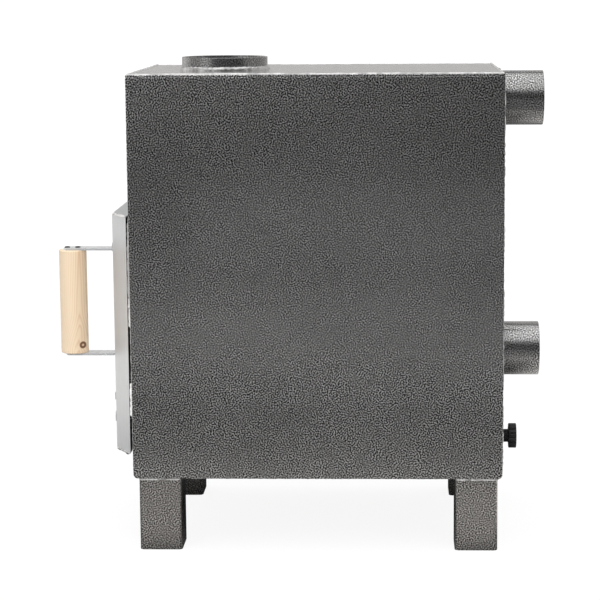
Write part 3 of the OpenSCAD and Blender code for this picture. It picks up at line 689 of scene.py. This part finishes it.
def joined(parts):
    """One mesh from several."""
    whole = bmesh.new()
    for part in parts:
        spare = bpy.data.meshes.new("spare")
        part.to_mesh(spare)
        part.free()
        whole.from_mesh(spare)
        bpy.data.meshes.remove(spare)
    return whole


def shown_beads(name, parts, body, slot, finish=None, replaces=()):
    """Makes several beads one piece that is smooth except at its feet."""
    return shown(name, joined(parts), body, slot, finish, replaces, sharp=80.0)


def cross_head(centre, axis, r, high):
    """Low round screw head with a cross recess."""
    bm = bmesh.new()
    side = Y if abs(axis.y) < 0.5 else Z
    other = axis.cross(side)

    def loop(points, height):
        verts = [bm.verts.new(centre + side*a + other*b + axis*height) for a, b in points]
        for pair in zip(verts, verts[1:] + verts[:1]):
            bm.edges.new(pair)
        return verts

    ring = [(cos(radians(15*i)), sin(radians(15*i))) for i in range(24)]
    # the head's outline as shares of its radius and its height, then the cross sunk in it
    levels = [(1.0, 0.0), (1.0, 0.45), (0.93, 0.70), (0.78, 0.90), (0.55, 1.0)]
    loops = [loop([(c*r*k, s*r*k) for c, s in ring], high*h) for k, h in levels]
    arm, half = 0.46*r, 0.11*r
    cross = [(arm, -half), (arm, half), (half, half), (half, arm), (-half, arm), (-half, half),
             (-arm, half), (-arm, -half), (-half, -half), (-half, -arm), (half, -arm), (half, -half)]
    loops.append(loop(cross, high))
    loops.append(loop([(a*0.7, b*0.7) for a, b in cross], high*0.35))
    for low, up in zip(loops, loops[1:]):
        edges = [e for e in bm.edges if e.verts[0] in low and e.verts[1] in low]
        edges += [e for e in bm.edges if e.verts[0] in up and e.verts[1] in up]
        bmesh.ops.bridge_loops(bm, edges=edges)
    bm.faces.new(loops[-1])
    bm.faces.new(list(reversed(loops[0])))
    bmesh.ops.recalc_face_normals(bm, faces=bm.faces)
    return bm


# ---------------------------------------------------------------- pieces

class MakeFinishes(bpy.types.Operator):
    """Makes the materials and puts them on the CAD nodes"""
    bl_idname = "stove.finishes"
    bl_label = "Finishes"

    def execute(self, context):
        low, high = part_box("handle_grip")
        half = (high - low)/2
        # each knot's place from the grip's middle, and its size
        knots = [((0.70*half.x, -0.72*half.y, -half.z + 12*MM), 0.0155),
                 ((0.60*half.x, 0.80*half.y, 0.35*half.z), 0.0145),
                 ((-0.9*half.x, 0.40*half.y, -0.2*half.z), 0.013)]
        # the ten slots of the record first, then the finishes that only some pieces have
        FINISHES.update(
            hammered_paint=hammered_paint(), stainless=brushed_stainless(), pine=pine(knots),
            black_plastic=black_plastic(), black_rubber=black_rubber(), black_steel=black_steel(),
            plain_steel=plain_steel(), fire_steel=fire_steel(), cast_iron=cast_iron(),
            seal_rope=glass_rope(),
            thin_paint=hammered_paint("thin_paint", 0.80),
            # the collar's paint is a darker copy of the enamel: painted shade
            collar_paint=hammered_paint("collar_paint", 0.40, (0.60, 0.60, 0.60)),
            # the legs' paint is a warmer copy of the enamel: a painted reflection of the warm floor near
            # them
            leg_paint=hammered_paint("leg_paint", 0.80, (1.02, 0.99, 0.965)),
            # the welds' brightness is a painted highlight; the matt one brightens the seams and the legs'
            # beads
            weld=painted_weld(), dusty_weld=painted_weld("dusty_weld", 0.30), bright=bright_weld(),
            # the handle strip's stainless is painted brighter: a painted sheen
            strip=brushed_stainless("brushed_strip", (0.02, 1, 0.02), 0.26, 1.35, relief=0.08),
            fibre=white_fibre())
        for part in frame["record"]["subparts"]:
            node = frame["nodes"][part["node"]]
            finish = FINISHES[part["material_slot"]]
            if not node.material_slots:
                node.data.materials.append(finish)
            for slot in node.material_slots:
                slot.material = finish
        return {"FINISHED"}


class MakeJacket(bpy.types.Operator):
    """Makes the water jacket's plates and legs with eased edges"""
    bl_idname = "stove.jacket"
    bl_label = "Jacket and legs"

    def execute(self, context):
        for node in ["jacket_wrap", "side_plate_near", "side_plate_far", "top_plate"]:
            eased_node(node, "stove", "hammered_paint", 0.9*MM)
        for node in LEGS:
            eased_node(node, "stove", "hammered_paint", 0.6*MM, "leg_paint")
        return {"FINISHED"}


def weld_collar(welds):
    """The bead round the foot of the flue collar."""
    low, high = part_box("flue_weld")
    tube_low, tube_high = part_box("flue_tube")
    r = (tube_high.x - tube_low.x)/2
    wide, tall = (high.x - low.x)/2 - r, high.z - low.z
    foot = Vector(((low.x + high.x)/2, (low.y + high.y)/2, low.z))
    path = ring_path(foot, r - SUNK, X, Y, Z, 240)
    bm = bead(path, wide*0.90, tall*0.80, 3.0, True, welds.pitch*1.9, rows=10, per_ripple=12,
              ripples=0.10)
    shown_beads("weld_collar", [bm], "stove", "hammered_paint", "weld", ["flue_weld"])


def weld_legs(welds):
    """A bead round each leg's top, thin in places."""
    corner_r, widest = 6*MM, 3.4*MM
    parts = []
    for i, node in enumerate(LEGS):
        low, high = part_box(node)
        centre = Vector(((low.x + high.x)/2, (low.y + high.y)/2, high.z))
        half_x, half_y = (high.x - low.x)/2, (high.y - low.y)/2
        path = [(p, out, -Z) for p, out in rounded_path(half_x, half_y, corner_r, centre)]
        parts.append(bead(path, min(welds.leg, widest), welds.leg, 11.0 + 7*i, True, welds.pitch,
                          broken=0.6))
    shown_beads("weld_legs", parts, "stove", "hammered_paint", "dusty_weld", ["leg_welds"])


def weld_leg_tops(welds):
    """Bright broken runs laid on each leg's outer face, just under the jacket, painted bright as glints.
    """
    wide, high = 1.7*MM, 2.7*MM
    height = JACKET_LOW - 1.6*MM
    parts = []
    for i, node in enumerate(LEGS):
        leg_low, leg_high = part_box(node)
        out, face = (Y, leg_high.y) if leg_high.y > 0 else (-Y, leg_low.y)
        parts.append(ridge(Vector((leg_low.x, face, height)), Vector((leg_high.x, face, height)), Z,
                           out, wide, high, 203.0 + 9*i, welds.pitch*1.4, ripples=0.25, broken=0.35))
    shown_beads("weld_leg_tops", parts, "stove", "hammered_paint", "bright")


def weld_seams(welds):
    """Ridges where the side plates and the top plate meet the folded sheet."""
    size = welds.seam
    front, rear, low, top = JACKET_FRONT, JACKET_REAR, JACKET_LOW, JACKET_TOP
    # how far the seams stop short of the corners, and how deep they sit in the sheet
    short_low, short_top, sunk, top_sunk = 8*MM, 2*MM, 0.4*MM, 0.2*MM
    parts = []
    seed = 41.0
    for side in (-1, 1):
        edge = side*(JACKET_HALF - size)
        top_high, top_broken = (size*1.15, 0.1) if side < 0 else (size*0.30, 0.0)
        runs = [
            ((front + 1*MM, top - top_sunk), (rear - 1*MM, top - top_sunk), Z,
             size*0.85, top_high, top_broken),
            ((front + sunk, low + short_low), (front + sunk, top - short_top), -X,
             size*0.8, size*0.50, 0.3),
            ((rear - sunk, low + short_low), (rear - sunk, top - short_top), X,
             size*0.8, size*0.85, 0.6),
            ((front + short_low, low + sunk), (rear - short_low, low + sunk), -Z,
             size*0.8, size*0.45, 0.9),
        ]
        for start, end, up, wide, high, broken in runs:
            start, end = (Vector((x, edge, z)) for x, z in (start, end))
            parts.append(ridge(start, end, Y*side, up, wide, high, seed, welds.pitch, broken=broken))
            seed += 5.0
    for x, out in ((front + size, -X), (rear - size, X)):
        reach = JACKET_HALF - 3*MM
        start, end = (Vector((x, y, top - top_sunk)) for y in (-reach, reach))
        parts.append(ridge(start, end, out, Z, size*0.85, size, seed, welds.pitch, broken=0.2))
        seed += 5.0
    shown_beads("weld_seams", parts, "stove", "hammered_paint", "dusty_weld")


class MakeWelds(bpy.types.Operator):
    """Lays the weld beads round the collar and the legs, and along the jacket's edges"""
    bl_idname = "stove.welds"
    bl_label = "Welds"

    def execute(self, context):
        welds = context.scene.stove_welds
        weld_collar(welds)
        weld_legs(welds)
        weld_leg_tops(welds)
        weld_seams(welds)
        return {"FINISHED"}


def tube(r, wall, length, foot, axis):
    """A tube with rounded rims."""
    bm = turned([(r, 0), (r, length), (r - wall, length), (r - wall, 0)], foot, axis)
    ease(bm, 0.7*MM, 3)
    return bm


class MakePipes(bpy.types.Operator):
    """Turns the flue collar and the two water pipes with rounded rims, and welds the pipes on"""
    bl_idname = "stove.pipes"
    bl_label = "Collar and pipes"

    def execute(self, context):
        welds = context.scene.stove_welds
        flue_wall, pipe_wall, r = 3*MM, 2*MM, 38*MM
        low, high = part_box("flue_tube")
        foot = Vector(((low.x + high.x)/2, 0, low.z))
        bm = tube((high.x - low.x)/2, flue_wall, high.z - low.z, foot, Z)
        shown("flue_collar", bm, "stove", "hammered_paint", "collar_paint", ["flue_tube"])
        for node, seed in (("water_outlet", 5.0), ("water_inlet", 9.0)):
            low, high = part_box(node)
            foot = Vector((JACKET_REAR, 0, (low.z + high.z)/2))
            bm = tube(r, pipe_wall, high.x - low.x, foot, X)
            shown(node + "_pipe", bm, "stove", "hammered_paint", "thin_paint", [node])
            weld = (high.z - low.z)/2 - r
            bm = bead(ring_path(foot, r - SUNK, Y, Z, X, 160), weld, weld, seed, True, welds.pitch)
            shown_beads("weld_" + node, [bm], "stove", "hammered_paint", "weld")
        return {"FINISHED"}


class MakeGrip(bpy.types.Operator):
    """Turns the wooden grip and sets its screws"""
    bl_idname = "stove.grip"
    bl_label = "Grip"

    def execute(self, context):
        low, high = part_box("handle_grip")
        centre = Vector(((low.x + high.x)/2, (low.y + high.y)/2, low.z))
        r, length = (high.x - low.x)/2, high.z - low.z
        bm = turned([(0, 0), (r, 0), (r, length), (0, length)], centre, Z)
        ease(bm, 1.2*MM, 4)
        shown("grip", bm, "door", "pine", replaces=["handle_grip"], weighted=True)
        screw_low, screw_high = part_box("grip_screws")
        head, head_r = 1.4*MM, 3.8*MM
        parts = []
        for end, up in ((screw_low.z, -Z), (screw_high.z, Z)):
            for x in (screw_low.x + head_r, screw_high.x - head_r):
                parts.append(cross_head(Vector((x, centre.y, end)) - up*head, up, head_r, head))
        shown("grip_screw_heads", joined(parts), "door", "black_steel", replaces=["grip_screws"])
        return {"FINISHED"}


def weld_cover():
    """Ground welds where the cover's slanted sides meet its top and its bottom."""
    low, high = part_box("door_cover")
    rims = [v.co for v in frame["nodes"]["door_cover"].data.vertices if v.co.x < low.x + 0.5*MM]
    face_half = max(abs(co.y) for co in rims)
    end, sunk, tall = 0.6*MM, 0.4*MM, 3.0*MM
    parts = []
    seed = 71.0
    for side in (-1, 1):
        for z, up in ((low.z + sunk, -Z), (high.z - sunk, Z)):
            front = Vector((low.x + end, side*(face_half - sunk), z))
            back = Vector((high.x - end, side*(high.y - end), z))
            out = (back - front).cross(Z).normalized()
            if out.x > 0:
                out = -out
            wide, ragged = (3.4*MM, 0.32) if side < 0 else (2.2*MM, 0.18)
            parts.append(ridge(front, back, out, up, wide, tall, seed, 5*MM, per_ripple=8,
                               ripples=ragged, broken=0.25, count=12))
            seed += 3.0
    shown_beads("weld_cover", parts, "door", "stainless", "bright")


def lay_fibre_strips():
    """Strips of white fibre under the cover's free edge, above and below the catch; their white partly
    stands in for a bright highlight in the gap, a painted highlight.
    """
    clip_low, clip_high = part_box("catch_clip")
    cover_low, cover_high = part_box("door_cover")
    thick = JACKET_FRONT - cover_high.x - 0.5*MM
    parts = []
    for foot, head in ((cover_low.z + 48*MM, clip_low.z - 3*MM),
                       (clip_high.z + 3*MM, cover_high.z - 4*MM)):
        start, end = (Vector((JACKET_FRONT, cover_low.y, z)) for z in (foot, head))
        parts.append(ridge(start, end, -Y, -X, 3.0*MM, thick, 5.0 + foot, 9*MM, per_ripple=8,
                           ripples=0.10, broken=0.12))
    shown_beads("fibre_strips", parts, "stove", "seal_rope", "fibre")


class MakeDoor(bpy.types.Operator):
    """Makes the door's cover, strip, hinges, slide and screws with eased edges"""
    bl_idname = "stove.door"
    bl_label = "Door"

    def execute(self, context):
        eased_node("door_cover", "door", "stainless", 0.3*MM)
        eased_node("handle_bracket", "door", "stainless", 0.4*MM, "strip")
        eased_node("slide_rails", "door", "stainless", 0.3*MM)
        eased_node("air_slide", "air_slide", "stainless", 0.3*MM)
        for node in ["hinge_strap_lower", "hinge_strap_upper"]:
            eased_node(node, "door", "plain_steel", 0.5*MM)
        for node in ["hinge_bracket_lower", "hinge_bracket_upper"]:
            eased_node(node, "stove", "hammered_paint", 0.5*MM)
        eased_node("catch_tongue", "door", "plain_steel", 0.4*MM)
        eased_node("catch_clip", "stove", "black_steel", 0.3*MM)
        low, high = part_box("cover_screws")
        head, head_r = 2.2*MM, 4.5*MM
        parts = []
        for y in (low.y + head_r, high.y - head_r):
            for z in (low.z + head_r, high.z - head_r):
                parts.append(cross_head(Vector((low.x + head, y, z)), -X, head_r, head))
        shown("cover_screw_heads", joined(parts), "door", "stainless", replaces=["cover_screws"])
        weld_cover()
        lay_fibre_strips()
        return {"FINISHED"}


def strand(path, phase, r):
    """One of the three strands, wound round the rope's middle."""
    lay, around, per_turn = 18*MM, 7, 14
    thick, arm = r*0.54, r*0.46
    total = lengths([point for point, _ in path])[-1]
    turns = round(total/lay)

    def put(column, row, far, here):
        middle, out = here[0], here[1].normalized()
        turn = 2*pi*row/around
        a = 2*pi*turns*far/total + phase
        core = middle + out*arm*cos(a) + X*arm*sin(a)
        return core + out*thick*cos(turn) + X*thick*sin(turn)

    return wrapped(path, turns*per_turn, around, put)


class MakeSealRope(bpy.types.Operator):
    """Twists the glass-fibre rope that seals the door"""
    bl_idname = "stove.seal_rope"
    bl_label = "Seal rope"

    def execute(self, context):
        low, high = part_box("rope_seal")
        centre = (low + high)/2
        r, clear, corner_r = 4.3*MM, 0.4*MM, 7*MM
        # round the opening, in the door's plane
        half_y, half_z = (high.y - low.y)/2 - r - clear, (high.z - low.z)/2 - r - clear
        path = [(Vector((centre.x, centre.y + p.x, centre.z + p.y)), Vector((0, out.x, out.y)))
                for p, out in rounded_path(half_y, half_z, corner_r, Vector((0, 0, 0)), 8)]
        strand_r = min((high.x - low.x)/2, r)
        parts = [strand(path, k*2*pi/3, strand_r) for k in range(3)]
        shown_beads("seal_rope", parts, "door", "seal_rope", replaces=["rope_seal"])
        return {"FINISHED"}


class MakeDrain(bpy.types.Operator):
    """Turns the drain plug and flutes its knob"""
    bl_idname = "stove.drain"
    bl_label = "Drain plug"

    def execute(self, context):
        low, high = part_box("drain_plug")
        seal_low, seal_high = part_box("drain_seal")
        centre = Vector((0, 0, (low.z + high.z)/2))
        r, neck_r, stem_r = (high.z - low.z)/2, (seal_high.z - seal_low.z)/2, 6*MM
        knob, slope, dish = high.x - 11*MM, 1.2*MM, 1.4*MM
        profile = [(0, low.x), (stem_r, low.x), (stem_r, seal_high.x), (neck_r, seal_high.x),
                   (neck_r, knob - slope), (neck_r + slope, knob), (r, knob), (r, high.x),
                   (r*0.72, high.x), (r*0.66, high.x - dish), (0, high.x - dish)]
        flutes, flute_depth = 16, 1.5
        bm = turned(profile, centre, X, 9*flutes)
        for vert in bm.verts:
            off = Vector((0, vert.co.y - centre.y, vert.co.z - centre.z))
            if off.length > r*0.98 and vert.co.x >= knob - 1e-6:
                cut = max(0.0, cos(flutes*atan2(off.y, off.z)))**1.5
                vert.co -= off.normalized()*cut*flute_depth*MM
        ease(bm, 0.9*MM, 3, 50.0)
        shown("drain_knob", bm, "drain_plug", "black_plastic", replaces=["drain_plug"], sharp=45.0)
        return {"FINISHED"}


class MakeGrate(bpy.types.Operator):
    """Makes the cast grate with softened edges"""
    bl_idname = "stove.grate"
    bl_label = "Grate"

    def execute(self, context):
        eased_node("grate", "stove", "cast_iron", 1.2*MM)
        return {"FINISHED"}


def set_floor_and_wall(studio):
    """Floor, and a white wall round the back and the sides, open behind the camera."""
    floor = bmesh.new()
    bmesh.ops.create_grid(floor, x_segments=8, y_segments=8, size=7.0)
    # where each pool of light lies, how far it reaches and how strong it is
    pools = [((0.0, -0.38), (0.75, 0.24), studio.pool_near),
             ((-1.65, 1.00), (1.60, 1.40), studio.pool_left),
             ((0.60, 0.15), (0.34, 0.60), studio.pool_pipes)]
    paper("studio_floor", floor, 0.14, 0.0, pools)
    wall = bmesh.new()
    radius, cove, top, above_floor = 4.6, 0.9, 5.2, 0.002
    profile = [(radius - 0.4, above_floor)]
    profile += [(radius + cove*sin(radians(a)),
                 above_floor + cove*(1 - cos(radians(a)))) for a in range(0, 91, 10)]
    profile.append((radius + cove, top))
    start, sweep = radians(-32), radians(244)
    side = Matrix.Rotation(start, 3, "Z")
    points = [wall.verts.new(side @ Vector((x, 0, z))) for x, z in profile]
    lines = [wall.edges.new(pair) for pair in zip(points, points[1:])]
    bmesh.ops.spin(wall, geom=points + lines, cent=(0, 0, 0), axis=Z, angle=sweep, steps=60,
                   use_merge=False, use_normal_flip=False, use_duplicate=False)
    bmesh.ops.recalc_face_normals(wall, faces=wall.faces)
    paper("studio_wall", wall, 0.30, studio.wall_glow)


def paper(name, bm, tone, glow, pools=()):
    """Seen as white paper with a faint shadow.

    The stove's metal and paint mirror it as grey with pools of light.
    """
    mesh = meshed(name, bm)
    made = Finish(name)

    def pool(centre, reach):
        """1 in the middle of a pool, 0 outside its reach."""
        scale = [1/reach[0], 1/reach[1], 1]
        offset = [-centre[0]*scale[0], -centre[1]*scale[1], 0]
        far = made.distance(made.moved(made.place, offset=offset, scale=scale))
        return made.ramp(far, [(0.50, 1.0), (1.0, 0.0)], smooth=True)

    def diffuse(colour):
        return made.node("ShaderNodeBsdfDiffuse", {}, {"Color": (colour, colour, colour, 1)})

    def glowing(colour):
        return made.node("ShaderNodeEmission", {}, {"Color": colour, "Strength": 1.0})

    def between(factor, first, second):
        return made.node("ShaderNodeMixShader", {}, {0: factor, 1: first, 2: second})

    for centre, reach, strength in pools:
        glow = pool(centre, reach)*strength + glow
    if pools:  # under the stove the floor mirrors darker
        shade = 0.85
        tone = tone - pool((0.0, 0.35), (0.38, 0.75))*tone*shade
    matt = made.node("ShaderNodeBsdfPrincipled", {}, {
        "Base Color": made.grey(tone), "Roughness": 0.9, "Specular IOR Level": 0.0})
    light = glowing(made.scaled((1.0, 0.96, 0.92), glow))
    in_mirror = made.node("ShaderNodeAddShader", {}, {0: matt, 1: light})
    # the camera sees it nine tenths flat white, a little more far off where the lamps fade
    farthest, flat_share, more = 5.0, 0.90, 0.10
    far_off = made.ramp(made.distance(made.place)/farthest, [(0.30, 0.0), (0.60, 1.0)])
    to_camera = between(flat_share, diffuse(0.92), glowing(made.grey(1.0 + far_off*more)))
    to_others = between(made.mirrored(), diffuse(0.50), in_mirror)
    mesh.materials.append(made.ended(between(made.ray("Is Camera Ray"), to_others, to_camera)))
    placed(name, mesh)


def set_lights(studio):
    """Softboxes: their power, place, aim and size."""
    rigs = {
        "softbox_top": (studio.top_light, (0, -0.8, 2.6), (0, -0.8, 0), (3.6, 4.4)),
        "softbox_left": (studio.left_light, (-2.1, -1.9, 1.2), (0, 0, 0.35), (1.4, 1.9)),
        "softbox_left_rear": (studio.left_rear_light, (-2.1, 1.25, 0.8), (-0.2, 0, 0.35), (1.6, 1.5)),
        "softbox_low": (studio.low_light, (0.1, -3.1, 0.12), (0.0, 0, 0.25), (1.1, 0.22)),
    }
    for name, (power, place, aim, size) in rigs.items():
        light = bpy.data.lights.new(name, "AREA")
        light.energy = power
        light.shape = "RECTANGLE"
        light.size, light.size_y = size
        lamp = placed(name, light)
        lamp.location = place
        lamp.rotation_euler = (Vector(aim) - Vector(place)).to_track_quat("-Z", "Y").to_euler()


def set_camera(scene, studio):
    """The camera at its place, level when its tilt, turn and roll are 0."""
    data = bpy.data.cameras.new("camera")
    data.sensor_width = 36.0
    data.lens = studio.lens
    data.shift_x, data.shift_y = studio.shift
    data.clip_end = 50.0
    turn, tilt, roll = (Matrix.Rotation(angle, 3, axis) for angle, axis in (
        (studio.camera_turn, "Z"), (-studio.camera_tilt, "X"), (studio.camera_roll, "Y")))
    level = Matrix(((1, 0, 0), (0, 0, -1), (0, 1, 0)))
    scene.camera = placed("camera", data)
    scene.camera.matrix_world = (Matrix.Translation(studio.camera_place)
                                 @ (turn @ tilt @ roll @ level).to_4x4())


def set_world(scene, studio):
    """Light from all round. What a mirror shows of it is dark, and the camera sees white."""
    sky = Finish("studio", "worlds")

    def between(factor, first, second):
        return sky.node("ShaderNodeMix", {}, {0: factor, 2: first, 3: second})

    # light thrown off a mirror onto wood or paint is as strong as the rest
    level = between(sky.mirrored(), studio.room, studio.room_mirrored)
    level = between(sky.ray("Is Camera Ray"), level, 1.0)
    white = sky.node("ShaderNodeBackground", {}, {"Color": (1, 1, 1, 1), "Strength": level})
    scene.world = sky.ended(white, "ShaderNodeOutputWorld")


class MakeStage(bpy.types.Operator):
    """Sets up the floor, the curved wall, the lights and the camera"""
    bl_idname = "stove.stage"
    bl_label = "Stage"

    def execute(self, context):
        studio = context.scene.stove_studio
        set_floor_and_wall(studio)
        set_lights(studio)
        set_camera(context.scene, studio)
        set_world(context.scene, studio)
        context.scene.view_settings.view_transform = "Standard"
        return {"FINISHED"}


OPERATORS = [MakeFinishes, MakeJacket, MakeWelds, MakePipes, MakeGrip, MakeDoor, MakeSealRope, MakeDrain,
             MakeGrate, MakeStage]


class StovePanel(bpy.types.Panel):
    """The stove's pieces and settings"""
    bl_idname = "VIEW3D_PT_stove"
    bl_label = "Hot tub stove"
    bl_space_type = "VIEW_3D"
    bl_region_type = "UI"
    bl_category = "Stove"

    def draw(self, context):
        column = self.layout.column()
        for operator in OPERATORS:
            column.operator(operator.bl_idname)
        for name, group in SETTINGS.items():
            box = self.layout.box()
            for key in group.__annotations__:
                box.prop(getattr(context.scene, name), key)


def register():
    for group in SETTINGS.values():
        bpy.utils.register_class(group)
    for operator in OPERATORS:
        bpy.utils.register_class(operator)
    bpy.utils.register_class(StovePanel)
    for name, group in SETTINGS.items():
        setattr(bpy.types.Scene, name, bpy.props.PointerProperty(type=group))


def unregister():
    for name in SETTINGS:
        delattr(bpy.types.Scene, name)
    for cls in [StovePanel, *reversed(OPERATORS), *reversed(SETTINGS.values())]:
        bpy.utils.unregister_class(cls)


def main():
    """Makes every piece in order."""
    register()
    for operator in OPERATORS:
        group, name = operator.bl_idname.split(".")
        getattr(getattr(bpy.ops, group), name)()


if __name__ == "__main__":
    main()
